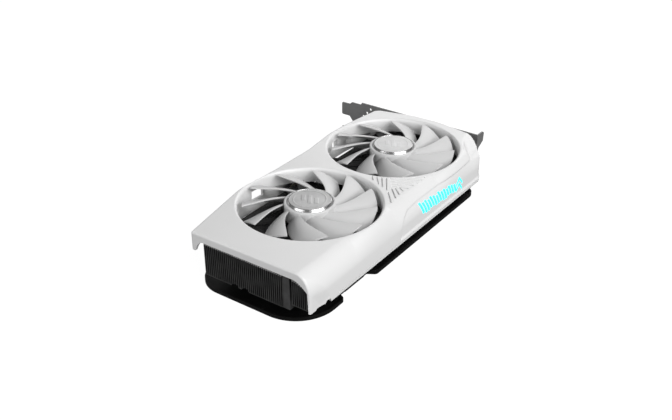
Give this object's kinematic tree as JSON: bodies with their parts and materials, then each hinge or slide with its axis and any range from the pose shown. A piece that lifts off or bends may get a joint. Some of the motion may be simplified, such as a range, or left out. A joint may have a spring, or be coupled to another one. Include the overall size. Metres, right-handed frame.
{
  "type": "graphics card",
  "caption": "Dual-slot graphics card with a white sculpted shroud over spinning fans, dark fin stacks, heat pipes, black backplate and a vented port bracket.",
  "frame": {"origin": "on the outer face of the backplate, midway between the two fan axes", "axes": "+X along the card towards the port bracket, +Y across it towards the slot contacts, +Z out of the fan side"},
  "size_m": [0.2335, 0.1362, 0.0435],
  "materials": {
    "white_plastic": "satin moulded",
    "emblem_lens": "translucent, lit from behind",
    "strip_board": "solder-masked",
    "diode": "clear-topped",
    "dark_screw": "black oxide",
    "steel_screw": "nickel-plated",
    "ivory_plastic": "satin",
    "fin_metal": "dark, thin stamped sheet",
    "nickel_pipe": "nickel-plated",
    "cold_plate": "nickel-plated, milled",
    "frame_metal": "black anodised",
    "spring_steel": "plain",
    "thermal_pad": "matt",
    "board": "solder mask",
    "gold": "gold-plated",
    "package": "laminate",
    "silicon": "polished silicon",
    "chip": "moulded",
    "choke": "pressed ferrite",
    "can": "drawn can",
    "socket_plastic": "moulded",
    "port_steel": "folded sheet",
    "bracket": "dark satin coat",
    "backplate": "black satin coat",
    "hub_disc": "brushed",
    "bezel": "polished",
    "magnet": "bonded ferrite",
    "bronze": "sintered",
    "lamination": "stacked sheet",
    "copper": "enamelled wire",
    "lead": "sleeved"
  },
  "bodies": {
    "card": {"fan_shroud": "white_plastic", "emblem_lens": "emblem_lens", "light_board": "strip_board", "light_diodes": "diode", "fan_screws": "dark_screw", "fan_headers": "ivory_plastic", "near_fin_stack": "fin_metal", "side_fin_stack": "fin_metal", "far_fin_stack": "fin_metal", "heatsink_rib": "fin_metal", "straight_heat_pipes": "nickel_pipe", "near_heat_pipe": "nickel_pipe", "far_heat_pipe": "nickel_pipe", "cold_plate": "cold_plate", "cooler_frame": "frame_metal", "retention_screws": "steel_screw", "retention_springs": "spring_steel", "thermal_pads": "thermal_pad", "circuit_board": "board", "edge_contacts": "gold", "gpu_package": "package", "gpu_die": "silicon", "memory_chips": "chip", "chokes": "choke", "power_stages": "chip", "capacitors": "can", "controller_chips": "chip", "board_nuts": "steel_screw", "power_socket": "socket_plastic", "power_pins": "gold", "display_sockets": "port_steel", "display_tongues": "socket_plastic", "video_socket": "port_steel", "video_tongue": "socket_plastic", "io_bracket": "bracket", "bracket_screws": "dark_screw", "backplate": "backplate", "backplate_screws": "dark_screw", "near_fan_bearing": "bronze", "near_motor_frame": "strip_board", "near_stator_core": "lamination", "near_motor_windings": "copper", "near_fan_lead": "lead", "near_fan_plug": "ivory_plastic", "far_fan_bearing": "bronze", "far_motor_frame": "strip_board", "far_stator_core": "lamination", "far_motor_windings": "copper", "far_fan_lead": "lead", "far_fan_plug": "ivory_plastic"},
    "near_fan": {"near_fan_rotor": "white_plastic", "near_hub_disc": "hub_disc", "near_hub_bezel": "bezel", "near_magnet_ring": "magnet", "near_fan_shaft": "steel_screw"},
    "far_fan": {"far_fan_rotor": "white_plastic", "far_hub_disc": "hub_disc", "far_hub_bezel": "bezel", "far_magnet_ring": "magnet", "far_fan_shaft": "steel_screw"}
  },
  "joints": [
    {"name": "near_fan_spin", "type": "hinge", "parent": "card", "child": "near_fan", "pos_m": [-0.0491, 0, 0.036], "axis": [0, 0, 1], "continuous": true},
    {"name": "far_fan_spin", "type": "hinge", "parent": "card", "child": "far_fan", "pos_m": [0.0491, 0, 0.036], "axis": [0, 0, 1], "continuous": true}
  ]
}
